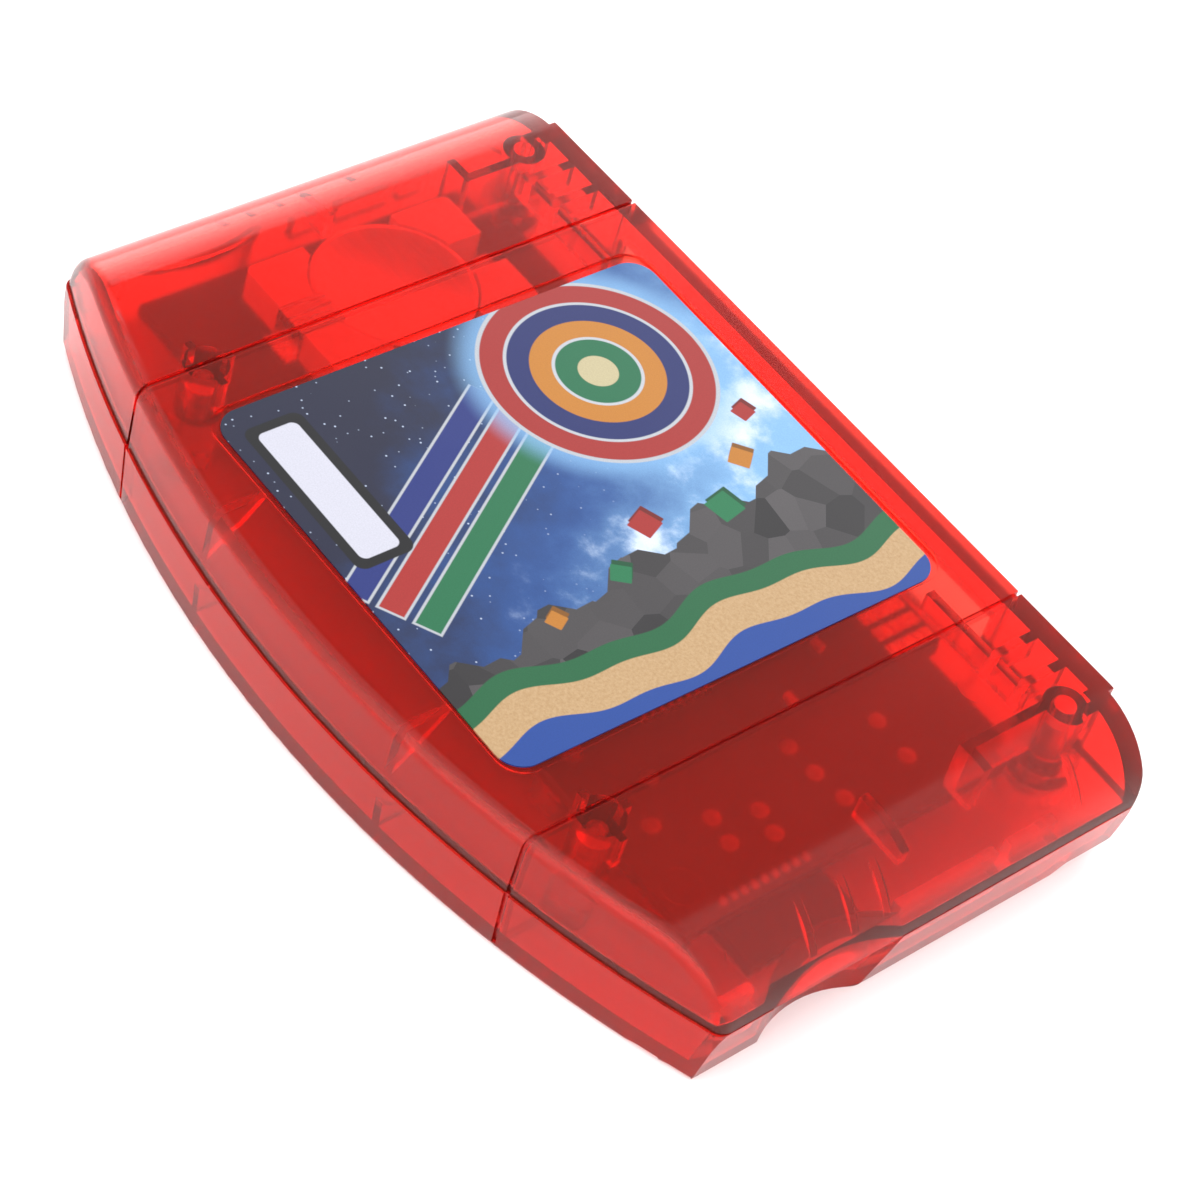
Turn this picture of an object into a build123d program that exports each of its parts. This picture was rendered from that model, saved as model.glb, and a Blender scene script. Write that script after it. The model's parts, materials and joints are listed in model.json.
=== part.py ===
import os

from build123d import *

os.makedirs("parts", exist_ok=True)

# Closed cartridge, lying on its back. X runs to its right, Y to the curved edge, Z out of the label.
width = 119.0
height = 75.0
depth = 18.5
parting_z = 9.4
wall = 1.8
fit = 0.1
half_width = width / 2

# Outline seen from the front
crown_radius = 149.5
crown_ledge = 0.3
crown_fillet = 1.8
end_radius = 10.4
lobe_x = half_width - 9.5
lobe_setback = 0.9
lobe_corner = 1.6

# Back half
crown_draft = 0.7
end_draft = 1.4
foot_round = 0.8
raised_foot = 1.9
raised_from = 8.0
raised_to = 10.7
foot_nose = 1.6

# Surface lines and label seat
groove_x = half_width - 24.9
groove_width = 0.5
groove_depth = 0.35
seat_width = 56.5
seat_bottom = 5.0
seat_top = height - 7.8
seat_corner = 3.4
seat_depth = 0.35
label_width = seat_width - 1.6
label_height = seat_top - seat_bottom - 1.4
label_corner = 3.2
label_thickness = 0.2
label_shift = -0.25
label_tilt = -0.5

# Connector mouth
mouth_width = 67.0
mouth_height = 8.4

# Finger scoops in the short sides of the back half
scoop_radius = 14.0
scoop_depth = 3.4
scoop_y = 0.616 * height
slot_length = 13.0
slot_height = 2.2

# Board and what stands on it
board_left = 11.3 - half_width
board_right = half_width - 8.0
board_thickness = 1.6
board_bottom = 8.4
board_top = board_bottom + board_thickness
board_low = 9.3
board_high = height - 17.0
tongue_half = 32.0
tongue_low = 6.0
shoulder_half = half_width - 15.0
shoulder_low = 11.6
pad_count = 25
pad_pitch = 2.5
pad_width = 1.7
pad_length = 6.5
pad_thickness = 0.05

# Coin cell in its holder
cell_x = half_width - 20.9
cell_y = 32.0
cell_radius = 10.0
cell_height = 3.2
cell_cap_radius = 8.7
cell_cap_height = 0.6
cell_round = 0.3
holder_width = 18.8
holder_length = 29.2
holder_floor = 0.8
holder_rise = 4.2
holder_gap = 0.15
holder_window = 6.4
clip_width = 4.6
clip_metal = 0.25
clip_lap = 1.4
clip_foot = 1.6

# Socket for a memory card under the left edge of the board
socket_left = 5.5 - half_width
socket_right = 19.0 - half_width
socket_width = 15.0
socket_height = 1.8
socket_channel = 11.2
socket_channel_depth = 0.95
socket_channel_end = 16.5 - half_width
socket_cover = 0.2
socket_lead_count = 8
socket_lead_pitch = 1.1

# Chips: centre from the middle and the connector edge, body and lead sizes
logic_spot = (-2.0, 36.0)
logic_size = 14.0
logic_height = 1.3
logic_lead_count = 12
logic_pitch = 1.0
memory_spot = (16.0, 36.0)
memory_width = 10.2
memory_length = 22.2
memory_height = 1.1
memory_lead_count = 20
flash_spot = (-20.0, 39.5)
flash_width = 7.5
flash_length = 10.4
flash_height = 2.2
flash_lead_count = 8
flash_pitch = 1.27
chip_standoff = 0.1
lead_reach = 1.0
lead_metal = 0.15
lead_height = 0.6
regulator_spot = (-20.0, 26.0)
regulator_width = 6.5
regulator_length = 3.5
regulator_height = 1.6
regulator_pitch = 2.3
crystal_spot = (-2.0, 21.0)
crystal_size = (5.0, 3.2, 1.1)
capacitor_size = (1.6, 0.8, 0.8)
capacitor_spots = [(-12.0, 30.0), (-12.0, 36.0), (-12.0, 42.0), (-5.0, 26.0), (4.0, 26.0), (-5.0, 46.5),
                   (4.0, 46.5), (16.0, 22.5), (16.0, 49.5), (-25.5, 20.0), (-30.0, 28.0)]
resistor_size = (1.6, 0.8, 0.45)
resistor_spots = [(7.8, 30.0), (7.8, 33.0), (7.8, 39.0), (7.8, 42.0), (-14.0, 18.0), (-10.0, 18.0),
                  (8.0, 18.0), (12.0, 18.0)]
test_pad_radius = 1.1
test_pad_grid = [(11.4, 37.1), (6.1, 36.8), (13.5, 25.7), (9.3, 25.9), (10.2, 11.9), (8.4, 17.2),
                 (6.7, 11.4), (5.3, 16.6), (5.1, 26.6), (17.7, 9.4), (12.6, 5.5)]
test_pad_spots = [(board_left + x, board_high - y) for x, y in test_pad_grid]
solder_radius = 0.55
solder_height = 0.35
solder_count = 9
solder_pitch = 1.45
solder_x = board_left + 1.4
solder_from = scoop_y - 5.8

# Screws and their bosses
boss_x = half_width - 11.0
boss_y = 5.7
boss_radius = 2.6
screw_radius = 1.25
screw_length = 8.4
screw_head_radius = 2.6
screw_head_height = 2.0
screw_socket = 1.0
counterbore_radius = 3.0
screw_tower_radius = 4.1
screw_seat_z = 6.0

# Ribs moulded inside the front half
rib = 1.2
grid_rib_drop = 3.2
long_rib_y = 8.4
long_rib_from = 29.0
long_rib_to = half_width - 14.3
cross_ribs_x = [half_width - 20.1, half_width - 15.5]
brace_x = half_width - 12.1
brace_from = 7.6
left_brace_to = 20.4
right_brace_to = 15.8
brace_foot = half_width - 8.7
stub_y = 0.46 * height
left_stub_x = half_width - 12.7
right_stub_x = half_width - 10.7
stub_end = half_width - 5.7
crown_gusset_x = 16.5
crown_gusset_reach = 6.5
gusset = 1.0
end_gusset_reach = 6.6
left_gussets_y = [share * height for share in (0.133, 0.516, 0.577, 0.655)]
right_gussets_y = [share * height for share in (0.369, 0.456, 0.507, 0.560, 0.611)]
dowel_x = half_width - 24.1
dowel_y = height - 14.0
dowel_outer = 2.7
dowel_pin = 1.1
dowel_fin = 3.6

# Tabs of the back half that stand inside the front half
tab_thickness = 1.0
tab_set = 0.8
tab_rise = 1.8
tab_root = 3.0
left_tabs_y = [(a * height, b * height) for a, b in ((0.173, 0.267), (0.293, 0.487), (0.760, 0.807))]
right_tabs_y = [(a * height, b * height)
                for a, b in ((0.173, 0.229), (0.245, 0.355), (0.384, 0.441), (0.760, 0.807))]
crown_tab_half = 9.0

# Square pillars under the board
pillar_size = 4.4
pillar_spots = [(board_left + 6.2, 15.0), (board_right - 9.5, 13.0),
                (-24.0, board_high - 4), (24.0, board_high - 4)]
peg_radius = 1.2
peg_rise = 0.6
pegged = pillar_spots[2:]

edge_y = -height / 2
crown_y = height / 2
inner_x = half_width - wall
scoop_x = half_width + scoop_radius - scoop_depth
mouth_mid = board_bottom + board_thickness / 2
crown_centre = crown_y - crown_radius


def brick(x0, x1, y0, y1, z0, z1):
    size = (abs(x1 - x0), abs(y1 - y0), abs(z1 - z0))
    return Pos((x0 + x1) / 2, edge_y + (y0 + y1) / 2, (z0 + z1) / 2) * Box(*size)


def rod(x, y, radius, z0, z1):
    return Pos(x, edge_y + y, (z0 + z1) / 2) * Cylinder(radius, z1 - z0)


def plan_outline(inset, crown, corner):
    half = half_width - inset
    low = edge_y + inset
    lobe_low = low + lobe_setback
    arc_disc = Pos(0, crown - crown_radius) * Circle(crown_radius - inset)
    outline = (Rectangle(2 * half, 3 * height) & arc_disc)
    outline -= Pos(0, low - height) * Rectangle(4 * width, 2 * height)
    for side in (-1, 1):
        spot = Pos(side * (lobe_x - inset + width), lobe_low - height)
        outline -= spot * Rectangle(2 * width, 2 * height)
    ends = outline.vertices().filter_by(lambda v: abs(abs(v.X) - half) < 0.01)
    outline = fillet(ends.filter_by(lambda v: v.Y < 0), max(lobe_corner - inset, 0.3))
    if corner > 0:
        ends = outline.vertices().filter_by(lambda v: abs(abs(v.X) - half) < 0.01)
        outline = fillet(ends.filter_by(lambda v: v.Y > 0).sort_by(Axis.Y)[-2:], corner)
    return outline


def front_block(inset, base, rounded):
    top = depth - inset
    low = base - 1.5 * depth
    section = Pos(0, (low + top) / 2) * Rectangle(2 * (half_width - inset), top - low)
    section = fillet(section.vertices().group_by(Axis.Y)[-1], end_radius - inset)
    bar = extrude(Plane.XZ * section, amount=height, both=True)
    slab = extrude(Pos(0, 0, low) * plan_outline(inset, crown_y - crown_ledge, 0), amount=3 * depth)
    block = bar & slab
    if rounded:
        crown = [f for f in block.faces() if f.geom_type == GeomType.CYLINDER and f.radius > width][0]
        rim = [e for e in crown.edges() if e.center().Z > low + 0.01]
        block = fillet(rim, crown_fillet - inset)
    return block & Pos(0, 0, base + depth) * Box(2 * width, 2 * height, 2 * depth)


def back_block(inset, top, rounded):
    half = half_width - inset
    foot = half - end_draft
    section = Polygon((-foot, inset), (foot, inset), (half, parting_z), (half, top),
                      (-half, top), (-half, parting_z), align=None)
    arm = crown_radius - inset
    rim = Polygon((0, inset), (arm - crown_draft, inset), (arm, parting_z), (arm, top),
                  (0, top), align=None)
    low = edge_y + inset
    lift = raised_foot + inset
    side = Polygon((low, top), (low, lift), (edge_y + raised_from, lift), (edge_y + raised_to, inset),
                   (height, inset), (height, top), align=None)
    if rounded:
        section = fillet(section.vertices().group_by(Axis.Y)[0], foot_round)
        rim = fillet(rim.vertices().group_by(Axis.Y)[0].sort_by(Axis.X)[-1], foot_round)
        nose = [v for v in side.vertices() if abs(v.X - low) < 0.01 and abs(v.Y - lift) < 0.01]
        side = fillet(nose, foot_nose)
    bar = extrude(Plane.XZ * section, amount=height, both=True)
    run = extrude(Plane.YZ * side, amount=width, both=True)
    slab = extrude(plan_outline(inset, crown_y, max(crown_fillet - inset, 0.2)), amount=top)
    dome = Pos(0, crown_centre, 0) * revolve(Plane.XZ * rim, Axis.Z)
    return bar & run & slab & dome


def scoops(radius, z0, z1):
    return [rod(side * scoop_x, scoop_y, radius, z0, z1) for side in (-1, 1)]


def groove_slabs(y0):
    slabs = []
    for side in (-1, 1):
        x = side * groove_x
        slabs.append(brick(x - groove_width / 2, x + groove_width / 2, y0, height + 5, -1, depth + 5))
    return slabs


# Front half of the case
front_outer = front_block(0, parting_z, True)
front_hollow = front_block(wall, parting_z - 1, False)
for shelf in scoops(scoop_radius + wall, parting_z - 2, parting_z + wall):
    front_hollow -= shelf
front_shell = front_outer - front_hollow
rib_limit = front_block(wall / 2, parting_z, False)
face_inner = depth - wall
rib_top = depth - wall / 2

ribs = []
drop = face_inner - grid_rib_drop
brace_low = board_top + fit
for side, brace_to, stub_x in ((-1, left_brace_to, left_stub_x), (1, right_brace_to, right_stub_x)):
    ribs.append(brick(side * long_rib_from, side * long_rib_to, long_rib_y - rib / 2, long_rib_y + rib / 2,
                      drop, rib_top))
    for x in cross_ribs_x:
        ribs.append(brick(side * x - rib / 2, side * x + rib / 2, wall / 2, long_rib_y, drop, rib_top))
    boss = rod(side * boss_x, boss_y, boss_radius, parting_z, rib_top)
    ribs.append(boss)
    ribs.append(brick(side * (boss_x + 1), side * (boss_x + 1 + rib), wall / 2 + lobe_setback, boss_y,
                      drop, rib_top))
    ribs.append(brick(side * (brace_x - rib / 2), side * (brace_x + rib / 2), brace_from, brace_to,
                      brace_low, rib_top))
    ribs.append(brick(side * (brace_x - rib / 2), side * brace_foot, brace_to - rib, brace_to,
                      brace_low, rib_top))
    ribs.append(brick(side * stub_x, side * stub_end, stub_y - rib / 2, stub_y + rib / 2, drop, rib_top))
    crown_inner = crown_y - crown_ledge - wall - 0.9
    web = Polygon((crown_inner - crown_gusset_reach, rib_top), (crown_y, rib_top), (crown_y, parting_z + 1),
                  (crown_inner, parting_z + 1), align=None)
    ribs.append(Pos(side * crown_gusset_x, 0, 0) * extrude(Plane.YZ * web, amount=gusset / 2, both=True))
    ribs.append(rod(side * dowel_x, dowel_y, dowel_outer, parting_z, rib_top))
    ribs.append(brick(side * dowel_x - gusset / 2, side * dowel_x + gusset / 2, dowel_y - dowel_fin, dowel_y,
                      parting_z + 3, rib_top))
    ribs.append(brick(side * (dowel_x - dowel_fin), side * (dowel_x + dowel_fin), dowel_y - gusset / 2,
                      dowel_y + gusset / 2, parting_z + 3, rib_top))

for side, spots in ((-1, left_gussets_y), (1, right_gussets_y)):
    for y in spots:
        web = Polygon((side * (inner_x - end_gusset_reach), rib_top), (side * half_width, rib_top),
                      (side * half_width, parting_z + wall), (side * (inner_x - 0.4), parting_z + wall),
                      align=None)
        fin = extrude(Plane.XZ * web, amount=gusset / 2, both=True)
        ribs.append(Pos(0, edge_y + y, 0) * fin)

for piece in ribs:
    front_shell += piece & rib_limit
for side in (-1, 1):
    front_shell -= rod(side * boss_x, boss_y, screw_radius + fit / 2, parting_z - 1, face_inner)
    front_shell -= rod(side * dowel_x, dowel_y, dowel_pin + fit, parting_z - 1, parting_z + 4)

mouth_low = mouth_mid - mouth_height / 2
mouth_high = mouth_mid + mouth_height / 2
mouth = brick(-mouth_width / 2, mouth_width / 2, -1, wall + 0.5, mouth_low, mouth_high)
front_shell -= mouth

arm = crown_radius - groove_depth
groove_rim = Polygon((0, -5), (arm, -5), (arm, depth - groove_depth), (0, depth - groove_depth), align=None)
groove_rim = fillet(groove_rim.vertices().sort_by(lambda v: v.X + v.Y)[-1], crown_fillet - groove_depth)
groove_core = Pos(0, crown_centre - crown_ledge, 0) * revolve(Plane.XZ * groove_rim, Axis.Z)
groove_core -= brick(-width, width, -3 * height, groove_depth, -10, depth + 10)
for slab in groove_slabs(-5):
    line = slab & brick(-width, width, -10, height + 10, parting_z, depth + 5)
    front_shell -= line - groove_core

seat_mid = edge_y + (seat_bottom + seat_top) / 2
seat = Pos(0, seat_mid, depth - seat_depth) * RectangleRounded(seat_width, seat_top - seat_bottom, seat_corner)
front_shell -= extrude(seat, amount=seat_depth + 1)

# Back half of the case
back_outer = back_block(0, parting_z, True)
back_hollow = back_block(wall, parting_z + 1, False)
for wrap in scoops(scoop_radius + wall, -1, parting_z + 2):
    back_hollow -= wrap
back_shell = back_outer - back_hollow
for cut in scoops(scoop_radius, -1, parting_z + 1):
    back_shell -= cut

back_limit = back_block(wall / 2, parting_z, False)
for side in (-1, 1):
    tower = rod(side * boss_x, boss_y, screw_tower_radius, raised_foot, parting_z)
    back_shell += tower & back_limit
for x, y in pillar_spots:
    back_shell += brick(x - pillar_size / 2, x + pillar_size / 2, y - pillar_size / 2, y + pillar_size / 2,
                        wall / 2, board_bottom)
for x, y in pegged:
    back_shell += rod(x, y, peg_radius, board_bottom - 1, board_top + peg_rise)
for side in (-1, 1):
    back_shell += rod(side * dowel_x, dowel_y, dowel_outer, wall / 2, parting_z)
    back_shell += rod(side * dowel_x, dowel_y, dowel_pin, parting_z - 1, parting_z + 3.6)
    web = Polygon((crown_y - 8, wall / 2), (crown_y - 1.5, wall / 2), (crown_y - 1.5, parting_z - 2),
                  align=None)
    fin = Pos(side * crown_gusset_x, 0, 0) * extrude(Plane.YZ * web, amount=gusset / 2, both=True)
    back_shell += fin & back_limit

tab_face = inner_x - tab_set
for side, spans in ((-1, left_tabs_y), (1, right_tabs_y)):
    for y0, y1 in spans:
        back_shell += brick(side * (tab_face - tab_thickness), side * tab_face, y0, y1,
                            parting_z - tab_root, parting_z + tab_rise)
        back_shell += brick(side * (tab_face - tab_thickness), side * (inner_x + 0.3), y0, y1,
                            parting_z - tab_root, parting_z - fit)

back_shell -= mouth
for side in (-1, 1):
    back_shell -= rod(side * boss_x, boss_y, screw_radius + 2 * fit, -1, parting_z + 1)
    back_shell -= rod(side * boss_x, boss_y, counterbore_radius, -1, screw_seat_z)
slot_top = board_bottom - fit
back_shell -= brick(-scoop_x, -inner_x + 6, scoop_y - slot_length / 2, scoop_y + slot_length / 2,
                    slot_top - slot_height, slot_top)

back_core = back_block(groove_depth, parting_z + 5, False)
for slab in groove_slabs(dowel_y):
    strip = slab & brick(-width, width, dowel_y, height + 5, foot_round, parting_z)
    back_shell -= strip - back_core

# Printed label in its seat
label_plan = Rot(0, 0, label_tilt) * RectangleRounded(label_width, label_height, label_corner)
front_label = extrude(Pos(label_shift, seat_mid, depth - seat_depth) * label_plan, amount=label_thickness)

# Circuit board
board_plan = Polygon(
    (-tongue_half + 1, edge_y + tongue_low), (tongue_half - 1, edge_y + tongue_low),
    (tongue_half, edge_y + tongue_low + 1), (tongue_half, edge_y + board_low),
    (shoulder_half, edge_y + board_low), (shoulder_half, edge_y + shoulder_low),
    (board_right, edge_y + shoulder_low), (board_right, edge_y + board_high),
    (board_left, edge_y + board_high), (board_left, edge_y + shoulder_low),
    (-shoulder_half, edge_y + shoulder_low), (-shoulder_half, edge_y + board_low),
    (-tongue_half, edge_y + board_low), (-tongue_half, edge_y + tongue_low + 1), align=None)
circuit_board = extrude(Pos(0, 0, board_bottom) * board_plan, amount=board_thickness)
for x, y in pegged:
    circuit_board -= rod(x, y, peg_radius + fit, board_bottom - 1, board_top + 1)


def contact_row(z0):
    first = -(pad_count - 1) / 2 * pad_pitch
    y0 = tongue_low + 0.4
    row = []
    for i in range(pad_count):
        x = first + i * pad_pitch
        row.append(brick(x - pad_width / 2, x + pad_width / 2, y0, y0 + pad_length, z0, z0 + pad_thickness))
    return Compound(children=row)


contact_pads_front = contact_row(board_top)
contact_pads_rear = contact_row(board_bottom - pad_thickness)


# Coin cell: a can with its rim broken and the smaller cap below
cell_z = board_top + holder_floor
can_section = Polygon((0, cell_cap_height), (cell_radius, cell_cap_height), (cell_radius, cell_height),
                      (0, cell_height), align=None)
can_section = chamfer(can_section.vertices().group_by(Axis.X)[-1].sort_by(Axis.Y)[-1], cell_round)
cap_section = Polygon((0, 0), (cell_cap_radius, 0), (cell_cap_radius, cell_cap_height), (0, cell_cap_height),
                      align=None)
coin_cell = revolve(Plane.XZ * can_section, Axis.Z) + revolve(Plane.XZ * cap_section, Axis.Z)
coin_cell = Pos(cell_x, edge_y + cell_y, cell_z) * coin_cell

# Holder: a floor with four corner horns round the cell, split at both ends for the contacts
holder_top = board_top + holder_rise
holder_end = cell_y + holder_length / 2
holder_start = cell_y - holder_length / 2
holder_plan = Pos(cell_x, edge_y + cell_y, board_top) * RectangleRounded(holder_width, holder_length, 1.0)
cell_holder = extrude(holder_plan, amount=holder_rise)
cell_holder -= rod(cell_x, cell_y, cell_radius + holder_gap, cell_z, holder_top + 1)
cell_holder -= brick(cell_x - holder_width, cell_x + holder_width, cell_y - holder_window,
                     cell_y + holder_window, cell_z, holder_top + 1)
cell_holder -= brick(cell_x - clip_width / 2 - fit, cell_x + clip_width / 2 + fit, holder_start - 1,
                     holder_end + 1, cell_z, holder_top + 1)
cell_holder -= brick(cell_x - clip_width / 2 - fit, cell_x + clip_width / 2 + fit, holder_start - 1, cell_y,
                     board_top - 1, holder_top + 1)

# Upper contact laps over the rim of the cell, lower contact runs beneath it
cell_top = cell_z + cell_height
strap = brick(cell_x - clip_width / 2, cell_x + clip_width / 2, cell_y + cell_radius - clip_lap,
              holder_end + clip_metal, cell_top, cell_top + clip_metal)
strap += brick(cell_x - clip_width / 2, cell_x + clip_width / 2, holder_end, holder_end + clip_metal,
               board_top, cell_top + clip_metal)
strap += brick(cell_x - clip_width / 2, cell_x + clip_width / 2, holder_end, holder_end + clip_foot,
               board_top, board_top + clip_metal)
cell_clip_upper = strap
tongue = brick(cell_x - clip_width / 2, cell_x + clip_width / 2, holder_start - clip_foot, cell_y - 1,
               board_top, board_top + clip_metal)
tongue += brick(cell_x - 1, cell_x + 1, cell_y - 4, cell_y - 1, board_top, cell_z)
cell_clip_lower = tongue

# Card socket: channel body, sheet cover and soldered leads
socket_low = board_bottom - socket_height
card_socket_body = brick(socket_left, socket_right, scoop_y - socket_width / 2, scoop_y + socket_width / 2,
                         socket_low, board_bottom)
card_socket_body -= brick(socket_left - 1, socket_channel_end, scoop_y - socket_channel / 2,
                          scoop_y + socket_channel / 2, socket_low - 1, socket_low + socket_channel_depth)
card_socket_cover = brick(socket_left, socket_right, scoop_y - socket_width / 2, scoop_y + socket_width / 2,
                          socket_low - socket_cover, socket_low)
socket_leads = []
for i in range(socket_lead_count):
    y = scoop_y + (i - (socket_lead_count - 1) / 2) * socket_lead_pitch
    socket_leads.append(brick(socket_right, socket_right + 1.2, y - 0.3, y + 0.3,
                              board_bottom - 0.3, board_bottom))
card_socket_leads = Compound(children=socket_leads)

# One bent lead: its leg meets the side of the body, its foot lies on the board
bent = Polygon((0, lead_height), (lead_metal, lead_height), (lead_metal, lead_metal), (lead_reach, lead_metal),
               (lead_reach, 0), (0, 0), align=None)


def lead_row(spot, reach, count, pitch, lead_width, turn):
    shape = extrude(Plane.XZ * bent, amount=lead_width / 2, both=True)
    row = []
    for i in range(count):
        along = (i - (count - 1) / 2) * pitch
        place = Pos(spot[0], edge_y + spot[1], board_top) * Rot(0, 0, turn) * Pos(reach, along, 0)
        row.append(place * shape)
    return row


def chip_body(spot, size_x, size_y, rise):
    block = brick(spot[0] - size_x / 2, spot[0] + size_x / 2, spot[1] - size_y / 2, spot[1] + size_y / 2,
                  board_top + chip_standoff, board_top + rise)
    mark = rod(spot[0] - size_x / 2 + 1.2, spot[1] + size_y / 2 - 1.2, 0.5,
               board_top + rise - 0.1, board_top + rise + 1)
    return block - mark


logic_chip = chip_body(logic_spot, logic_size, logic_size, logic_height)
logic_rows = []
for turn in (0, 90, 180, 270):
    logic_rows += lead_row(logic_spot, logic_size / 2, logic_lead_count, logic_pitch, 0.35, turn)
logic_chip_leads = Compound(children=logic_rows)

memory_chip = chip_body(memory_spot, memory_width, memory_length, memory_height)
memory_rows = []
for turn in (0, 180):
    memory_rows += lead_row(memory_spot, memory_width / 2, memory_lead_count, logic_pitch, 0.35, turn)
memory_chip_leads = Compound(children=memory_rows)

flash_chip = chip_body(flash_spot, flash_width, flash_length, flash_height)
flash_rows = []
for turn in (0, 180):
    flash_rows += lead_row(flash_spot, flash_width / 2, flash_lead_count, flash_pitch, 0.45, turn)
flash_chip_leads = Compound(children=flash_rows)

voltage_regulator = brick(regulator_spot[0] - regulator_width / 2, regulator_spot[0] + regulator_width / 2,
                          regulator_spot[1] - regulator_length / 2, regulator_spot[1] + regulator_length / 2,
                          board_top + chip_standoff, board_top + regulator_height)
tabs = lead_row(regulator_spot, regulator_length / 2, 3, regulator_pitch, 0.7, 270)
tabs += lead_row(regulator_spot, regulator_length / 2, 1, regulator_pitch, 3.0, 90)
regulator_tabs = Compound(children=tabs)

crystal_plan = Pos(crystal_spot[0], edge_y + crystal_spot[1], board_top)
crystal_can = extrude(crystal_plan * RectangleRounded(crystal_size[0], crystal_size[1], 0.5),
                      amount=crystal_size[2])


def chip_field(spots, size):
    field = []
    for x, y in spots:
        field.append(brick(x - size[0] / 2, x + size[0] / 2, y - size[1] / 2, y + size[1] / 2,
                           board_top, board_top + size[2]))
    return Compound(children=field)


capacitors = chip_field(capacitor_spots, capacitor_size)
resistors = chip_field(resistor_spots, resistor_size)


def stud(x, y, radius, rise):
    plan = Pos(x, edge_y + y, board_top) * RegularPolygon(radius, 8)
    return extrude(plan, amount=rise)


test_pads = Compound(children=[stud(x, y, test_pad_radius, pad_thickness) for x, y in test_pad_spots])
solder_points = Compound(children=[stud(solder_x, solder_from + i * solder_pitch, solder_radius, solder_height)
                                   for i in range(solder_count)])


def case_screw(side):
    head = rod(side * boss_x, boss_y, screw_head_radius, screw_seat_z - screw_head_height, screw_seat_z)
    head = chamfer(head.edges().group_by(Axis.Z)[0], 0.5)
    shank = rod(side * boss_x, boss_y, screw_radius, screw_seat_z, screw_seat_z + screw_length)
    hexagon = RegularPolygon(screw_socket, 6)
    low = screw_seat_z - screw_head_height
    socket = extrude(Pos(side * boss_x, edge_y + boss_y, low - 1) * hexagon, amount=2.2)
    return head + shank - socket


nodes = {
    "front_shell": front_shell,
    "back_shell": back_shell,
    "front_label": front_label,
    "circuit_board": circuit_board,
    "contact_pads_front": contact_pads_front,
    "contact_pads_rear": contact_pads_rear,
    "coin_cell": coin_cell,
    "cell_holder": cell_holder,
    "cell_clip_upper": cell_clip_upper,
    "cell_clip_lower": cell_clip_lower,
    "card_socket_body": card_socket_body,
    "card_socket_cover": card_socket_cover,
    "card_socket_leads": card_socket_leads,
    "logic_chip": logic_chip,
    "logic_chip_leads": logic_chip_leads,
    "memory_chip": memory_chip,
    "memory_chip_leads": memory_chip_leads,
    "flash_chip": flash_chip,
    "flash_chip_leads": flash_chip_leads,
    "voltage_regulator": voltage_regulator,
    "regulator_tabs": regulator_tabs,
    "crystal_can": crystal_can,
    "capacitors": capacitors,
    "resistors": resistors,
    "test_pads": test_pads,
    "solder_points": solder_points,
    "case_screw_left": case_screw(-1),
    "case_screw_right": case_screw(1),
}
for name, shape in nodes.items():
    export_step(shape, f"parts/{name}.step")
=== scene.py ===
import json
from math import cos, radians, sin

import bmesh
import bpy
from mathutils import Matrix, Vector


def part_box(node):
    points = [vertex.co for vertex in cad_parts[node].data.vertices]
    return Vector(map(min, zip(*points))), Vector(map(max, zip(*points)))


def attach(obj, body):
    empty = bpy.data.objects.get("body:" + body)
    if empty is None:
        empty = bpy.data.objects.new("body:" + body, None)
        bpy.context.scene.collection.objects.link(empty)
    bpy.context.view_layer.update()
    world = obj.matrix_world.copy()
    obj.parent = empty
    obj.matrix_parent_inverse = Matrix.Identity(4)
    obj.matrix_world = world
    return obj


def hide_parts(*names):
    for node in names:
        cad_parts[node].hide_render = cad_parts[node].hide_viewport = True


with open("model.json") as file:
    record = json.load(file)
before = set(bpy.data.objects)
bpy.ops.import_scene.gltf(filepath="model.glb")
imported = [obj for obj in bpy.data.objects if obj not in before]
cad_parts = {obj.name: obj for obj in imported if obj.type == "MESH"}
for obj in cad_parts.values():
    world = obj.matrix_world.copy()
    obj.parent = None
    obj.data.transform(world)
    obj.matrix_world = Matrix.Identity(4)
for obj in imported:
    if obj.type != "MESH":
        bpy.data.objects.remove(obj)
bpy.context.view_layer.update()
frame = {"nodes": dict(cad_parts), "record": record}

nodes = frame["nodes"]
scene = bpy.context.scene
mmPerMetre = 1000
metresPerMm = 0.001
print("frame loaded:", len(nodes), "pieces")


# small helpers for building materials

def newMaterial(name):
    mat = bpy.data.materials.new(name)
    mat.use_nodes = True
    tree = mat.node_tree
    tree.nodes.clear()
    out = tree.nodes.new("ShaderNodeOutputMaterial")
    skin = tree.nodes.new("ShaderNodeBsdfPrincipled")
    tree.links.new(skin.outputs[0], out.inputs["Surface"])
    return mat, tree, skin, out


def wire(tree, value, socket):
    if hasattr(value, "is_output"):
        tree.links.new(value, socket)
    else:
        socket.default_value = value


def calc(tree, operation, a, b=0.0):
    node = tree.nodes.new("ShaderNodeMath")
    node.operation = operation
    wire(tree, a, node.inputs[0])
    wire(tree, b, node.inputs[1])
    return node.outputs[0]


def hypotenuse(tree, a, b):
    squares = calc(tree, "ADD", calc(tree, "MULTIPLY", a, a), calc(tree, "MULTIPLY", b, b))
    return calc(tree, "SQRT", squares)


def blendColour(tree, mask, below, above, mode="MIX"):
    node = tree.nodes.new("ShaderNodeMix")
    node.data_type = "RGBA"
    node.blend_type = mode
    wire(tree, mask, node.inputs[0])
    wire(tree, below, node.inputs[6])
    wire(tree, above, node.inputs[7])
    return node.outputs[2]


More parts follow.
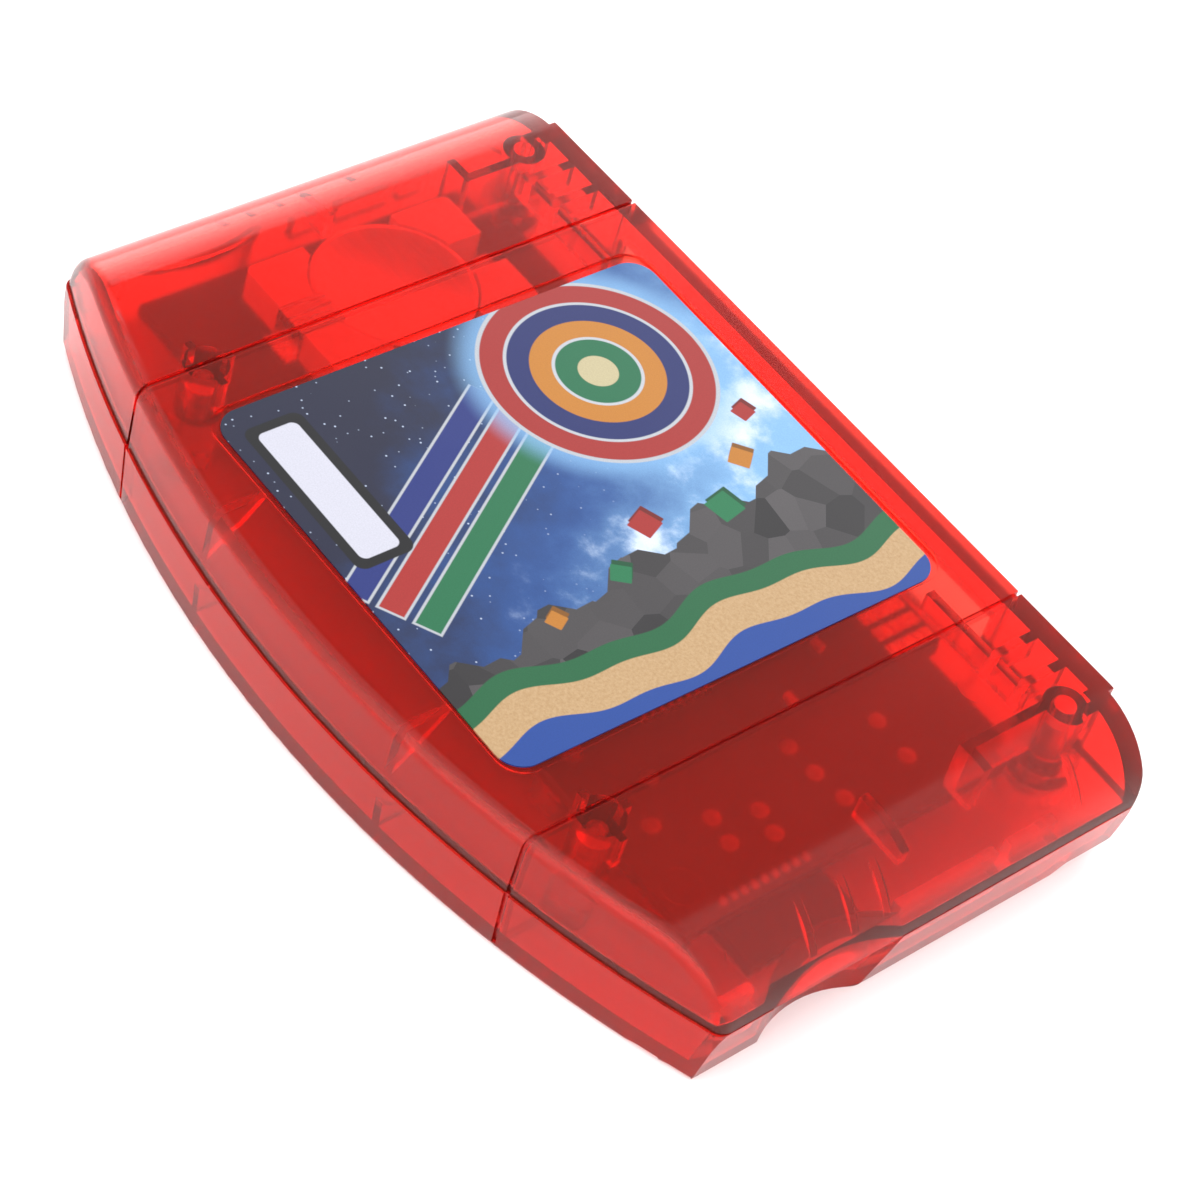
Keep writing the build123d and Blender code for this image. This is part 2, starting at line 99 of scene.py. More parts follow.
def remap(tree, value, low, high, outLow=0.0, outHigh=1.0, smooth=False):
    node = tree.nodes.new("ShaderNodeMapRange")
    node.interpolation_type = "SMOOTHSTEP" if smooth else "LINEAR"
    wire(tree, value, node.inputs["Value"])
    for name, v in (("From Min", low), ("From Max", high), ("To Min", outLow), ("To Max", outHigh)):
        wire(tree, v, node.inputs[name])
    return node.outputs["Result"]


def place(tree, scale=(mmPerMetre, mmPerMetre, mmPerMetre), turn=0.0, shift=(0, 0, 0)):
    coords = tree.nodes.new("ShaderNodeTexCoord")
    mapping = tree.nodes.new("ShaderNodeMapping")
    mapping.inputs["Scale"].default_value = scale
    mapping.inputs["Rotation"].default_value = (0, 0, turn)
    mapping.inputs["Location"].default_value = shift
    tree.links.new(coords.outputs["Object"], mapping.inputs["Vector"])
    return mapping.outputs["Vector"]


def splitAxes(tree, vector):
    node = tree.nodes.new("ShaderNodeSeparateXYZ")
    tree.links.new(vector, node.inputs[0])
    return node.outputs


def noise(tree, vector, scale, detail=3.0, rough=0.5):
    node = tree.nodes.new("ShaderNodeTexNoise")
    tree.links.new(vector, node.inputs["Vector"])
    wire(tree, scale, node.inputs["Scale"])
    node.inputs["Detail"].default_value = detail
    node.inputs["Roughness"].default_value = rough
    return node.outputs["Fac"]


noiseSpan = (0.3, 0.7)  # most of a noise's values lie in here
bumpHeight = 0.00002  # metres


def bump(tree, height, strength, skin):
    node = tree.nodes.new("ShaderNodeBump")
    node.inputs["Strength"].default_value = strength
    node.inputs["Distance"].default_value = bumpHeight
    tree.links.new(height, node.inputs["Height"])
    tree.links.new(node.outputs["Normal"], skin.inputs["Normal"])


# moulding grain shared by the plastics: fine spark texture, slow waviness and a roughness that follows both

grainMix = {
    "inputs": ("Grain scale", "Grain depth", "Smoothest", "Roughest"),
    "detail": 2.0,
    "slowScale": 0.12,
    "slowHeight": 0.6,
    "fineShare": 0.8,
    "slowShare": 0.2,
}


def makeMouldGrain():
    group = bpy.data.node_groups.new("mouldGrain", "ShaderNodeTree")
    for name in grainMix["inputs"]:
        group.interface.new_socket(name=name, in_out="INPUT", socket_type="NodeSocketFloat")
    for name in ("Height", "Roughness"):
        group.interface.new_socket(name=name, in_out="OUTPUT", socket_type="NodeSocketFloat")
    start = group.nodes.new("NodeGroupInput")
    end = group.nodes.new("NodeGroupOutput")
    vector = place(group)
    fine = noise(group, vector, start.outputs["Grain scale"], grainMix["detail"])
    slow = noise(group, vector, grainMix["slowScale"], grainMix["detail"])
    deep = calc(group, "MULTIPLY", fine, start.outputs["Grain depth"])
    height = calc(group, "ADD", deep, calc(group, "MULTIPLY", slow, grainMix["slowHeight"]))
    group.links.new(height, end.inputs["Height"])
    mixed = calc(group, "ADD", calc(group, "MULTIPLY", fine, grainMix["fineShare"]),
                 calc(group, "MULTIPLY", slow, grainMix["slowShare"]))
    rough = remap(group, mixed, *noiseSpan, start.outputs["Smoothest"], start.outputs["Roughest"])
    group.links.new(rough, end.inputs["Roughness"])
    return group


mouldGrain = makeMouldGrain()


def addGrain(tree, skin, scale, depth, smoothest, roughest, strength, relief=None):
    node = tree.nodes.new("ShaderNodeGroup")
    node.node_tree = mouldGrain
    for name, value in zip(grainMix["inputs"], (scale, depth, smoothest, roughest)):
        node.inputs[name].default_value = value
    tree.links.new(node.outputs["Roughness"], skin.inputs["Roughness"])
    height = node.outputs["Height"]
    if relief is not None:
        height = calc(tree, "ADD", height, relief)
    bump(tree, height, strength, skin)


# translucent red case: each face of a wall tints the light, a little scatters, long ways through go deep red

caseRed = {
    "tint": (0.99, 0.105, 0.070, 1),
    "deepTint": (0.97, 0.095, 0.064, 1),
    # painted shade colour for the two long line grooves
    "paintedGrooveShade": (0.62, 0.020, 0.014, 1),
    "cloudScale": 0.05,
    "cloudDetail": 2.0,
    "cloudSpan": (0.35, 0.65),
    "through": 0.935,
    "absorb": (1.0, 0.20, 0.15, 1),
    "density": 170.0,
    "ior": 1.30,
    "grain": {"scale": 7.0, "depth": 1.0, "smoothest": 0.11, "roughest": 0.19, "strength": 0.12},
    "grooveX": 34.6,
    "grooveHalf": 0.26,
    "grooveSoft": 0.05,
    "pinMarks": [(-41.8, -24.5), (32.4, -34.6), (-46.4, 22.0), (-55.5, -3.5), (-55.9, 21.0)],
    "pinRadius": 2.3,
    "pinLine": 0.13,
    "pinHeight": 8.0,
    "innerSkin": 16.0,
    "innerReach": (0.95, 0.85),
}


def pinRelief(tree, x, y, z):
    # round ejector marks on the inner skin
    above = calc(tree, "ABSOLUTE", calc(tree, "SUBTRACT", z, caseRed["innerSkin"]))
    inner = remap(tree, above, *caseRed["innerReach"])
    rings = 0.0
    for pinX, pinY in caseRed["pinMarks"]:
        far = hypotenuse(tree, calc(tree, "SUBTRACT", x, pinX), calc(tree, "SUBTRACT", y, pinY))
        off = calc(tree, "ABSOLUTE", calc(tree, "SUBTRACT", far, caseRed["pinRadius"]))
        rings = calc(tree, "ADD", rings, remap(tree, off, caseRed["pinLine"], 0.0))
    return calc(tree, "MULTIPLY", calc(tree, "MULTIPLY", rings, inner), caseRed["pinHeight"])


def makeCase(name, marked):
    mat, tree, skin, out = newMaterial(name)
    skin.inputs["Transmission Weight"].default_value = caseRed["through"]
    skin.inputs["IOR"].default_value = caseRed["ior"]
    vector = place(tree)
    x, y, z = splitAxes(tree, vector)
    cloud = noise(tree, vector, caseRed["cloudScale"], caseRed["cloudDetail"])
    tint = blendColour(tree, remap(tree, cloud, *caseRed["cloudSpan"]), caseRed["tint"], caseRed["deepTint"])
    # painted shade: a darker red band is painted along the two long line grooves
    fromMiddle = calc(tree, "ABSOLUTE", x)
    offLine = calc(tree, "ABSOLUTE", calc(tree, "SUBTRACT", fromMiddle, caseRed["grooveX"]))
    half, soft = caseRed["grooveHalf"], caseRed["grooveSoft"]
    tint = blendColour(tree, remap(tree, offLine, half + soft, half - soft), tint, caseRed["paintedGrooveShade"])
    tree.links.new(tint, skin.inputs["Base Color"])
    relief = pinRelief(tree, x, y, z) if marked else None
    addGrain(tree, skin, relief=relief, **caseRed["grain"])
    inside = tree.nodes.new("ShaderNodeVolumeAbsorption")
    inside.inputs["Color"].default_value = caseRed["absorb"]
    inside.inputs["Density"].default_value = caseRed["density"]
    tree.links.new(inside.outputs[0], out.inputs["Volume"])
    return mat


# printed label: a sky from night to day, rings low at the right, faceted rocks and a shore up the left side

labelArt = {
    "turn": radians(0.5),
    "shift": (0.25, 1.4, 0),
    "inkSoft": 0.07,
    "navy": (0.010, 0.012, 0.036, 1),
    "blue": (0.016, 0.066, 0.240, 1),
    "pale": (0.200, 0.400, 0.660, 1),
    "cloud": (0.62, 0.70, 0.84, 1),
    "cloudNoise": {"scale": 0.085, "detail": 7.0, "rough": 0.58},
    "drift": 7.0,
    "dayAlong": (-0.60, -0.70),
    "blueDay": (-24.0, 0.0),
    "paleDay": (-6.0, 22.0),
    "puffSpan": (0.50, 0.66),
    "puffDay": (-6.0, 10.0),
    "star": (0.40, 0.47, 0.62, 1),
    "starScale": 0.8,
    "starSpan": (0.13, 0.05),
    "starDay": (4.0, -12.0),
    "bars": [(-2.0, (0.012, 0.13, 0.055, 1)), (2.2, (0.32, 0.020, 0.018, 1)), (6.4, (0.014, 0.026, 0.16, 1))],
    "barAcross": (0.86, 0.51),
    "barAlong": (0.51, -0.86),
    "barShift": 9.0,
    "barTop": 9.0,
    "barFoot": -27.0,
    "barHalf": 1.45,
    "barRim": 0.3,
    "rim": (0.40, 0.42, 0.46, 1),
    "ringSpot": (14.5, -14.0),
    "rings": [(14.2, (0.40, 0.42, 0.46, 1)), (13.7, (0.30, 0.020, 0.018, 1)), (11.0, (0.42, 0.44, 0.48, 1)),
              (10.6, (0.012, 0.020, 0.115, 1)), (8.0, (0.44, 0.17, 0.022, 1)), (5.4, (0.44, 0.46, 0.50, 1)),
              (5.0, (0.010, 0.125, 0.055, 1)), (2.4, (0.46, 0.40, 0.24, 1))],
    "haloSpan": (18.0, 14.0),
    "haloMost": 0.7,
    "facetScale": 0.24,
    "rockDark": (0.016, 0.015, 0.017, 1),
    "rockPale": (0.078, 0.072, 0.076, 1),
    "ridge": (1.0, 0.16, 12.5),
    "teeth": [(31.0, 6.5, 0.55), (40.0, 2.3, 0.45)],
    "waves": [(0.20, 1.1), (0.47, 0.5)],
    "grass": (0.012, 0.105, 0.040, 1),
    "sand": (0.40, 0.25, 0.12, 1),
    "sandPale": (0.48, 0.32, 0.17, 1),
    "sandScale": 2.5,
    "sea": (0.014, 0.055, 0.26, 1),
    "grassFrom": 17.6,
    "sandFrom": 20.4,
    "seaFrom": 24.8,
    "tiles": [(-6.5, -4.0, 1.5, 0.4, (0.30, 0.018, 0.016, 1)), (-11.0, 3.0, 1.2, 0.9, (0.012, 0.15, 0.06, 1)),
              (-8.5, -14.0, 1.7, 0.2, (0.012, 0.15, 0.06, 1)), (-3.5, -20.5, 1.3, 0.7, (0.42, 0.16, 0.02, 1)),
              (-13.0, 13.5, 1.0, 0.5, (0.42, 0.16, 0.02, 1)),
              (2.0, -25.5, 1.1, 0.3, (0.30, 0.018, 0.016, 1))],
    "tileCorner": 0.15,
    "tileShade": 0.45,
    "tileDrop": (0.45, -0.5),
    "panel": (13.2, 24.6, 10.0, 2.6),
    "panelCorner": 0.9,
    "panelColour": (0.52, 0.52, 0.60, 1),
    "surround": 1.2,
    "surroundCorner": 1.3,
    "surroundColour": (0.006, 0.006, 0.008, 1),
    "mottleNoise": {"scale": 6.0, "detail": 2.0},
    "mottle": (0.70, 0.80),
    "grain": {"scale": 14.0, "depth": 0.6, "smoothest": 0.30, "roughest": 0.44, "strength": 0.06},
    "specular": 0.3,
}


def makeLabel():
    art = labelArt
    mat, tree, skin, _ = newMaterial("labelPrint")
    vector = place(tree, turn=art["turn"], shift=art["shift"])
    u, v, _ = splitAxes(tree, vector)

    def lean(a, b, c=0.0):
        slope = calc(tree, "ADD", calc(tree, "MULTIPLY", u, a), calc(tree, "MULTIPLY", v, b))
        return calc(tree, "ADD", slope, c)

    def ink(below, distance, colour):
        # colour where the distance is below nought, with a narrow soft edge
        return blendColour(tree, remap(tree, distance, art["inkSoft"], -art["inkSoft"]), below, colour)

    def roundBox(x, y, halfX, halfY, corner, turned=0.0):
        # distance to a rounded box, turned about its middle
        ca, sa = cos(turned), sin(turned)
        a = calc(tree, "ABSOLUTE", lean(ca, sa, -ca * x - sa * y))
        b = calc(tree, "ABSOLUTE", lean(-sa, ca, sa * x - ca * y))
        a = calc(tree, "MAXIMUM", calc(tree, "SUBTRACT", a, halfX - corner), 0.0)
        b = calc(tree, "MAXIMUM", calc(tree, "SUBTRACT", b, halfY - corner), 0.0)
        return calc(tree, "SUBTRACT", hypotenuse(tree, a, b), corner)

    # sky with drifting cloud and stars
    cloudy = noise(tree, vector, **art["cloudNoise"])
    drift = remap(tree, cloudy, *noiseSpan, -art["drift"], art["drift"])
    day = calc(tree, "ADD", lean(*art["dayAlong"]), drift)
    picture = blendColour(tree, remap(tree, day, *art["blueDay"], smooth=True), art["navy"], art["blue"])
    picture = blendColour(tree, remap(tree, day, *art["paleDay"], smooth=True), picture, art["pale"])
    puffs = calc(tree, "MULTIPLY", remap(tree, cloudy, *art["puffSpan"], smooth=True),
                 remap(tree, day, *art["puffDay"]))
    picture = blendColour(tree, puffs, picture, art["cloud"])
    specks = tree.nodes.new("ShaderNodeTexVoronoi")
    specks.inputs["Scale"].default_value = art["starScale"]
    tree.links.new(vector, specks.inputs["Vector"])
    stars = calc(tree, "MULTIPLY", remap(tree, specks.outputs["Distance"], *art["starSpan"]),
                 remap(tree, day, *art["starDay"]))
    picture = blendColour(tree, stars, picture, art["star"])
    # three leaning bars behind the rings, each with a pale rim
    for start, colour in art["bars"]:
        across = calc(tree, "ABSOLUTE", lean(*art["barAcross"], -start - art["barShift"]))
        upper = lean(*art["barAlong"], -art["barTop"])
        lower = calc(tree, "SUBTRACT", art["barFoot"], lean(*art["barAlong"]))
        rim = calc(tree, "MAXIMUM", calc(tree, "SUBTRACT", across, art["barHalf"] + art["barRim"]), upper)
        bar = calc(tree, "MAXIMUM", calc(tree, "SUBTRACT", across, art["barHalf"]), upper)
        picture = ink(picture, calc(tree, "MAXIMUM", rim, lower), art["rim"])
        foot = calc(tree, "ADD", lower, art["barRim"])
        picture = ink(picture, calc(tree, "MAXIMUM", bar, foot), colour)
    # rings
    ringX, ringY = art["ringSpot"]
    far = hypotenuse(tree, calc(tree, "SUBTRACT", u, ringX), calc(tree, "SUBTRACT", v, ringY))
    halo = remap(tree, far, *art["haloSpan"], 0.0, art["haloMost"], smooth=True)
    picture = blendColour(tree, halo, picture, art["pale"])
    for radius, colour in art["rings"]:
        picture = ink(picture, calc(tree, "SUBTRACT", far, radius), colour)
    # rocks: flat facets to the left of a broken ridge
    facets = tree.nodes.new("ShaderNodeTexVoronoi")
    facets.inputs["Scale"].default_value = art["facetScale"]
    facets.voronoi_dimensions = "2D"
    tree.links.new(vector, facets.inputs["Vector"])
    shade = tree.nodes.new("ShaderNodeSeparateColor")
    tree.links.new(facets.outputs["Color"], shade.inputs[0])
    rock = blendColour(tree, shade.outputs[0], art["rockDark"], art["rockPale"])
    broad, narrow = (calc(tree, "MULTIPLY", calc(tree, "PINGPONG", calc(tree, "ADD", v, start), width), tall)
                     for start, width, tall in art["teeth"])
    ridge = calc(tree, "SUBTRACT", lean(*art["ridge"]), calc(tree, "ADD", broad, narrow))
    picture = ink(picture, ridge, rock)
    # shore up the left side
    swell, ripple = (calc(tree, "MULTIPLY", calc(tree, "SINE", calc(tree, "MULTIPLY", v, rate)), tall)
                     for rate, tall in art["waves"])
    wave = calc(tree, "ADD", u, calc(tree, "ADD", swell, ripple))
    grainy = remap(tree, noise(tree, vector, art["sandScale"]), *noiseSpan)
    sand = blendColour(tree, grainy, art["sand"], art["sandPale"])
    bands = ((art["grassFrom"], art["grass"]), (art["sandFrom"], sand), (art["seaFrom"], art["sea"]))
    for level, colour in bands:
        picture = ink(picture, calc(tree, "ADD", wave, level), colour)
    # loose tiles, each over its own shadow
    dropX, dropY = art["tileDrop"]
    for x, y, half, turned, colour in art["tiles"]:
        dark = tuple(c * art["tileShade"] for c in colour[:3]) + (1,)
        below = roundBox(x + dropX, y + dropY, half, half, art["tileCorner"], turned)
        picture = ink(picture, below, dark)
        picture = ink(picture, roundBox(x, y, half, half, art["tileCorner"], turned), colour)
    # blank panel with a dark surround
    x, y, halfX, halfY = art["panel"]
    edge = art["surround"]
    surround = roundBox(x, y, halfX + edge, halfY + edge, art["surroundCorner"])
    picture = ink(picture, surround, art["surroundColour"])
    picture = ink(picture, roundBox(x, y, halfX, halfY, art["panelCorner"]), art["panelColour"])
    # fine mottle of the print
    mottle = remap(tree, noise(tree, vector, **art["mottleNoise"]), *noiseSpan, *art["mottle"])
    picture = blendColour(tree, 1.0, picture, mottle, "MULTIPLY")
    tree.links.new(picture, skin.inputs["Base Color"])
    addGrain(tree, skin, **art["grain"])
    skin.inputs["Specular IOR Level"].default_value = art["specular"]
    return mat


# plain metals and plastics inside

metalLook = {
    "detail": 4.0,
    "noiseRough": 0.6,
    "strength": 0.08,
    "plain": (1000, 1000, 1000),
    "alongX": (100, 1600, 1000),
    "alongY": (1600, 100, 1000),
    "pads": (200, 1000, 1000),
}
# slot: name, bright and dark colour, scale of the streaks, smoothest and roughest, stretch of the streaks
metals = {
    "contact_gold": ("contactGold", (0.86, 0.60, 0.22, 1), (0.70, 0.46, 0.15, 1), 1.2, (0.2, 0.34), "pads"),
    "cell_steel": ("cellSteel", (0.86, 0.85, 0.83, 1), (0.74, 0.73, 0.71, 1), 1.6, (0.28, 0.45), "alongX"),
    "clip_metal": ("clipMetal", (0.84, 0.83, 0.80, 1), (0.70, 0.69, 0.66, 1), 1.4, (0.22, 0.36), "alongY"),
    "socket_metal": ("socketMetal", (0.80, 0.80, 0.79, 1), (0.66, 0.66, 0.65, 1), 1.4, (0.25, 0.4), "alongY"),
    "lead_tin": ("leadTin", (0.82, 0.82, 0.83, 1), (0.68, 0.68, 0.69, 1), 2.0, (0.25, 0.4), "plain"),
    "crystal_metal": ("crystalMetal", (0.84, 0.84, 0.82, 1), (0.70, 0.70, 0.68, 1), 1.5, (0.2, 0.32),
                      "alongX"),
    "solder": ("solder", (0.34, 0.31, 0.27, 1), (0.24, 0.22, 0.19, 1), 1.8, (0.35, 0.5), "plain"),
    "screw_steel": ("screwSteel", (0.62, 0.62, 0.63, 1), (0.48, 0.48, 0.50, 1), 1.2, (0.28, 0.42), "plain"),
}


def makeMetal(name, colour, dark, streak, roughness, stretch):
    mat, tree, skin, _ = newMaterial(name)
    skin.inputs["Metallic"].default_value = 1.0
    vector = place(tree, scale=metalLook[stretch])
    brushed = noise(tree, vector, streak, metalLook["detail"], metalLook["noiseRough"])
    mixed = blendColour(tree, remap(tree, brushed, *noiseSpan), dark, colour)
    tree.links.new(mixed, skin.inputs["Base Color"])
    tree.links.new(remap(tree, brushed, *noiseSpan, *roughness), skin.inputs["Roughness"])
    bump(tree, brushed, metalLook["strength"], skin)
    return mat


plasticLook = {"cloudScale": 0.6, "detail": 4.0, "noiseRough": 0.55, "depth": 1.0, "strength": 0.1}
# slot: name, bright and dark colour, scale of the grain, smoothest and roughest
plastics = {
    "holder_plastic": ("holderPlastic", (0.86, 0.84, 0.79, 1), (0.78, 0.76, 0.70, 1), 6.0, (0.35, 0.5)),
    "socket_plastic": ("socketPlastic", (0.022, 0.021, 0.021, 1), (0.012, 0.012, 0.012, 1), 6.0, (0.4, 0.55)),
    "chip_plastic": ("chipPlastic", (0.030, 0.030, 0.032, 1), (0.017, 0.017, 0.018, 1), 8.0, (0.42, 0.6)),
    "capacitor_body": ("capacitorBody", (0.58, 0.43, 0.28, 1), (0.48, 0.35, 0.22, 1), 6.0, (0.45, 0.6)),
    "resistor_body": ("resistorBody", (0.045, 0.045, 0.05, 1), (0.03, 0.03, 0.033, 1), 6.0, (0.35, 0.5)),
}


def makePlastic(name, colour, dark, scale, roughness):
    look = plasticLook
    mat, tree, skin, _ = newMaterial(name)
    vector = place(tree)
    cloud = noise(tree, vector, look["cloudScale"], look["detail"], look["noiseRough"])
    mixed = blendColour(tree, remap(tree, cloud, *noiseSpan), dark, colour)
    tree.links.new(mixed, skin.inputs["Base Color"])
    addGrain(tree, skin, scale, look["depth"], *roughness, look["strength"])
    return mat


boardLook = {
    "weave": {"Scale": 0.35, "Mortar Size": 0.06, "Color1": (0.040, 0.040, 0.042, 1),
              "Color2": (0.048, 0.048, 0.050, 1), "Mortar": (0.072, 0.072, 0.074, 1)},
    "cloud": (0.055, 0.054, 0.055, 1),
    "cloudScale": 0.5,
    "cloudSpan": (0.35, 0.7),
    "grain": {"scale": 3.0, "depth": 0.6, "smoothest": 0.3, "roughest": 0.45, "strength": 0.1},
}


def makeBoard():
    mat, tree, skin, _ = newMaterial("boardMask")
    vector = place(tree)
    weave = tree.nodes.new("ShaderNodeTexBrick")
    for name, value in boardLook["weave"].items():
        weave.inputs[name].default_value = value
    tree.links.new(vector, weave.inputs["Vector"])
    mask = remap(tree, noise(tree, vector, boardLook["cloudScale"]), *boardLook["cloudSpan"])
    colour = blendColour(tree, mask, weave.outputs["Color"], boardLook["cloud"])
    tree.links.new(colour, skin.inputs["Base Color"])
    addGrain(tree, skin, **boardLook["grain"])
    return mat


finishes = {
    "case_front": makeCase("caseFront", True),
    "case_back": makeCase("caseBack", False),
    "label_print": makeLabel(),
    "board": makeBoard(),
}
for slotName, settings in metals.items():
    finishes[slotName] = makeMetal(*settings)
for slotName, settings in plastics.items():
    finishes[slotName] = makePlastic(*settings)

for part in frame["record"]["subparts"]:
    piece = nodes[part["node"]]
    finish = finishes[part["material_slot"]]
    piece.data.materials.clear()
    piece.data.materials.append(finish)
print("finishes given:", len(finishes))


# pieces spun and domed here, in millimetres

sharpAngle = radians(40)


def addPiece(bm, name, node, slotName):
    bmesh.ops.scale(bm, vec=(metresPerMm, metresPerMm, metresPerMm), verts=bm.verts)
    bmesh.ops.recalc_face_normals(bm, faces=bm.faces)
    mesh = bpy.data.meshes.new(name)
    bm.to_mesh(mesh)
    bm.free()
    for face in mesh.polygons:
        face.use_smooth = True
    mesh.set_sharp_from_angle(angle=sharpAngle)
    piece = bpy.data.objects.new(name, mesh)
    scene.collection.objects.link(piece)
    mesh.materials.append(finishes[slotName])
    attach(piece, "root")
    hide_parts(node)


coinCell = {
    "segments": 72,
    "weld": 0.0005,
    # radius less the cell's own radius, height above its foot; the last points sink the face inside the rim
    "profile": [(-10.0, 0.0), (-1.55, 0.0), (-1.3, 0.2), (-1.3, 0.6), (-0.30, 0.6), (-0.08, 0.68), (0.0, 0.9),
                (0.0, 2.85), (-0.09, 3.08), (-0.32, 3.2), (-0.75, 3.2), (-0.95, 3.14), (-10.0, 3.14)],
}


def makeCoinCell():
    low, high = (Vector(c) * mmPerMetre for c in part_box("coin_cell"))
    radius = (high.x - low.x) / 2
    centre = Vector(((low.x + high.x) / 2, (low.y + high.y) / 2, low.z))
    bm = bmesh.new()
    points = [bm.verts.new(centre + Vector((radius + dr, 0, dz))) for dr, dz in coinCell["profile"]]
    edges = [bm.edges.new(pair) for pair in zip(points, points[1:])]
    bmesh.ops.spin(bm, geom=points + edges, cent=centre, axis=(0, 0, 1), angle=radians(360),
                   steps=coinCell["segments"], use_merge=True)
    bmesh.ops.remove_doubles(bm, verts=bm.verts, dist=coinCell["weld"])
    addPiece(bm, "coinCell", "coin_cell", "cell_steel")


boardDots = {
    "boardTop": 10.0,
    "around": 18,
    "rings": 8,
    "cutReach": 0.00001,
    "padSpots": [(-36.8, -16.6), (-42.1, -16.3), (-34.7, -5.2), (-38.9, -5.4), (-38.0, 8.6), (-39.8, 3.3),
                 (-41.5, 9.1), (-42.9, 3.9), (-43.1, -6.1), (-30.5, 11.1), (-35.6, 15.0)],
    "padRadius": 1.1,
    "padRise": 0.10,
    "jointX": -46.8,
    "jointFrom": 2.9,
    "jointStep": 1.45,
    "joints": 9,
    "jointRadius": 0.55,
    "jointRise": 0.35,
}


def makeDomes(name, node, spots, radius, rise):
    dots = bmesh.new()
    for x, y in spots:
        made = bmesh.ops.create_uvsphere(dots, u_segments=boardDots["around"], v_segments=boardDots["rings"],
                                         radius=1.0)
        bmesh.ops.scale(dots, vec=(radius, radius, rise), verts=made["verts"])
        bmesh.ops.translate(dots, vec=(x, y, boardDots["boardTop"]), verts=made["verts"])
    everything = dots.verts[:] + dots.edges[:] + dots.faces[:]
    bmesh.ops.bisect_plane(dots, geom=everything, dist=boardDots["cutReach"],
                           plane_co=(0, 0, boardDots["boardTop"]), plane_no=(0, 0, 1), clear_inner=True)
    rims = [e for e in dots.edges if e.is_boundary]
    bmesh.ops.holes_fill(dots, edges=rims, sides=0)
    addPiece(dots, name, node, "solder")


makeCoinCell()
makeDomes("testPads", "test_pads", boardDots["padSpots"], boardDots["padRadius"], boardDots["padRise"])
jointSpots = [(boardDots["jointX"], boardDots["jointFrom"] + i * boardDots["jointStep"])
              for i in range(boardDots["joints"])]
makeDomes("solderJoints", "solder_points", jointSpots, boardDots["jointRadius"], boardDots["jointRise"])
print("spun and domed pieces made")


# floor, light and camera

studio = {
    "floorSize": 3.0,
    "floorCells": 8,
    "floorDrop": 0.00005,
    "floorColour": (0.74, 0.74, 0.74, 1),
    "floorPale": (0.92, 0.92, 0.92, 1),
    "floorRough": 0.9,
    "paperPlace": (10, 10, 10),
    "paperNoise": {"scale": 2.0, "detail": 2.0},
    "sky": 1.5,
    "front": {"aim": (-0.35, 0.80, 0.42), "strength": 1.7, "edge": (0.35, 0.95)},
    "flag": {"aim": (0.44, -0.42, 0.79), "dim": 0.88, "edge": (0.940, 0.978)},
    "back": {"aim": (0.55, -0.83, 0.0), "strength": 2.6, "edge": (0.60, 0.85), "below": (0.69, 0.61)},
    "passes": 11,
    "glossyPasses": 5,
}


def makeFloor():
    bm = bmesh.new()
    cells = studio["floorCells"]
    bmesh.ops.create_grid(bm, x_segments=cells, y_segments=cells, size=studio["floorSize"] / 2)
    bmesh.ops.translate(bm, verts=bm.verts, vec=(0, 0, -studio["floorDrop"]))
    mesh = bpy.data.meshes.new("studioFloor")
    bm.to_mesh(mesh)
    bm.free()
    floor = bpy.data.objects.new("studioFloor", mesh)
    scene.collection.objects.link(floor)
    mat, tree, skin, _ = newMaterial("floorPaper")
    cloud = noise(tree, place(tree, scale=studio["paperPlace"]), **studio["paperNoise"])
    colour = blendColour(tree, cloud, studio["floorColour"], studio["floorPale"])
    tree.links.new(colour, skin.inputs["Base Color"])
    skin.inputs["Roughness"].default_value = studio["floorRough"]
    mesh.materials.append(mat)


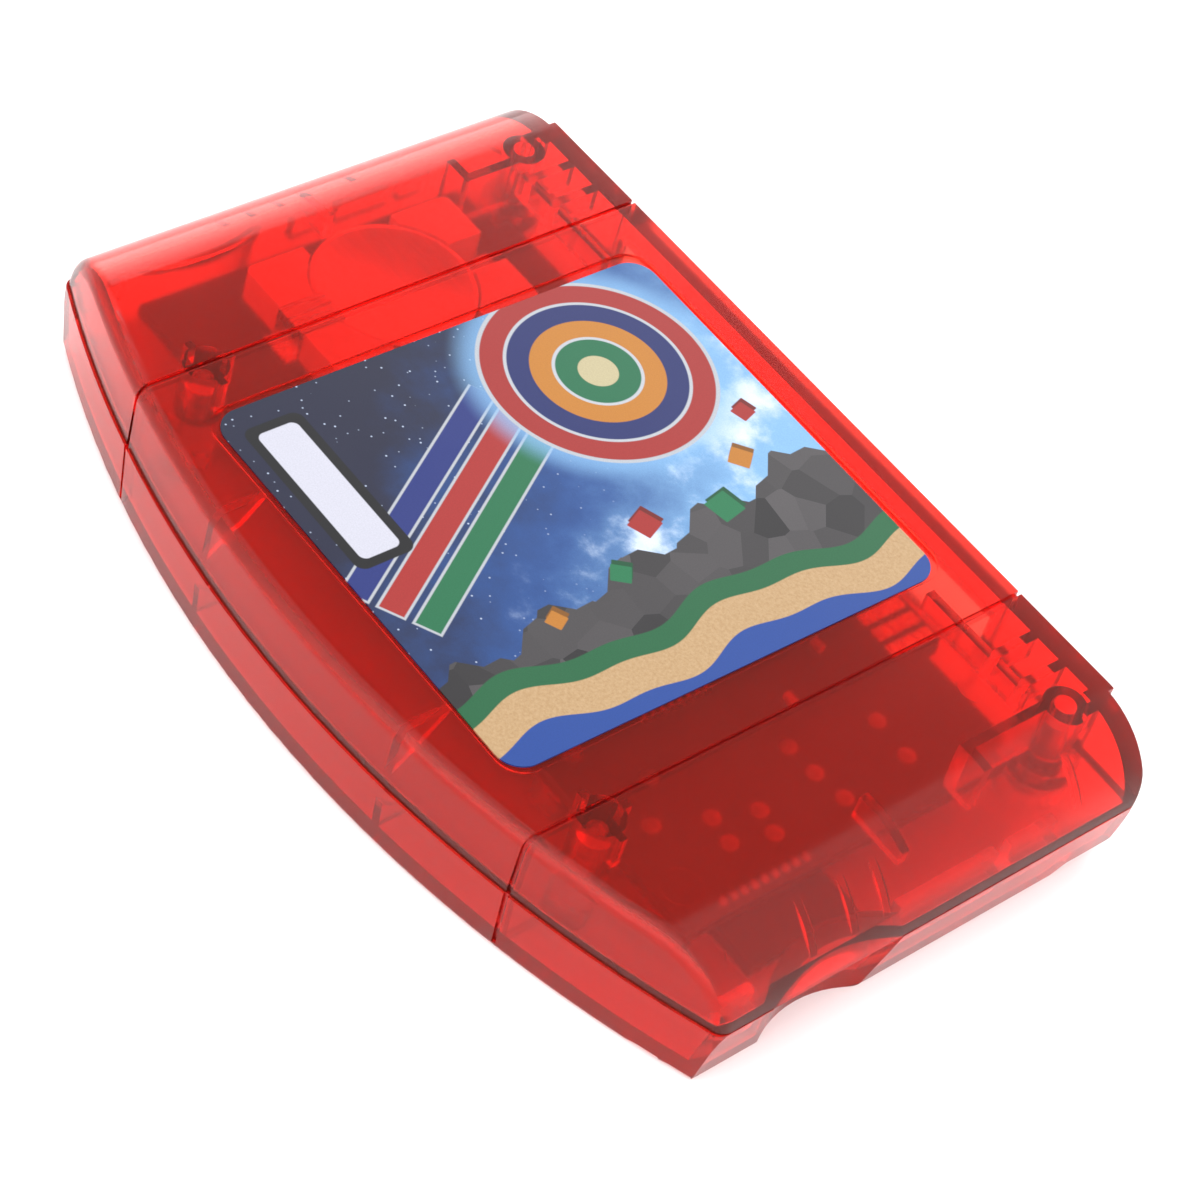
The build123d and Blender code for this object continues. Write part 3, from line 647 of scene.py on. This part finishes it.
def makeSky():
    # an even sky with a dark patch that the face mirrors, a glow in front and a low glow behind
    world = bpy.data.worlds.new("studioSky")
    scene.world = world
    world.use_nodes = True
    sky = world.node_tree
    shine = sky.nodes["Background"]
    coords = sky.nodes.new("ShaderNodeTexCoord")
    rise = splitAxes(sky, coords.outputs["Generated"])[2]

    def towards(light):
        dot = sky.nodes.new("ShaderNodeVectorMath")
        dot.operation = "DOT_PRODUCT"
        sky.links.new(coords.outputs["Generated"], dot.inputs[0])
        dot.inputs[1].default_value = Vector(light["aim"]).normalized()
        return remap(sky, dot.outputs["Value"], *light["edge"], smooth=True)

    flag, back, front = studio["flag"], studio["back"], studio["front"]
    shaded = calc(sky, "SUBTRACT", 1.0, calc(sky, "MULTIPLY", towards(flag), flag["dim"]))
    low = remap(sky, rise, *back["below"], smooth=True)
    backGlow = calc(sky, "MULTIPLY", calc(sky, "MULTIPLY", towards(back), low), back["strength"])
    frontGlow = calc(sky, "MULTIPLY", towards(front), front["strength"])
    even = calc(sky, "MULTIPLY", shaded, studio["sky"])
    shine.inputs["Color"].default_value = (1, 1, 1, 1)
    sky.links.new(calc(sky, "ADD", even, calc(sky, "ADD", backGlow, frontGlow)), shine.inputs["Strength"])


view = {
    "spot": (-0.166736, 0.208557, 0.283260),
    "right": (-0.611625, -0.758410, 0.225234),
    "down": (-0.669796, 0.344865, -0.657603),
    "ahead": (0.421057, -0.553067, -0.718908),
    "lens": 103.954,
    "sensor": 36.0,
    "shift": (-0.00106, -0.01186),
    "nearest": 0.01,
}


def makeCamera():
    camera = bpy.data.cameras.new("photoCamera")
    cameraObject = bpy.data.objects.new("photoCamera", camera)
    scene.collection.objects.link(cameraObject)
    turn = Matrix((view["right"], [-a for a in view["down"]], [-a for a in view["ahead"]])).transposed()
    cameraObject.matrix_world = Matrix.Translation(view["spot"]) @ turn.to_4x4()
    camera.sensor_width = view["sensor"]
    camera.lens = view["lens"]
    camera.shift_x, camera.shift_y = view["shift"]
    camera.clip_start = view["nearest"]
    scene.camera = cameraObject


makeFloor()
makeSky()
makeCamera()
scene.view_settings.view_transform = "Standard"
scene.cycles.max_bounces = studio["passes"]
scene.cycles.transmission_bounces = studio["passes"]
scene.cycles.glossy_bounces = studio["glossyPasses"]
print("studio ready")
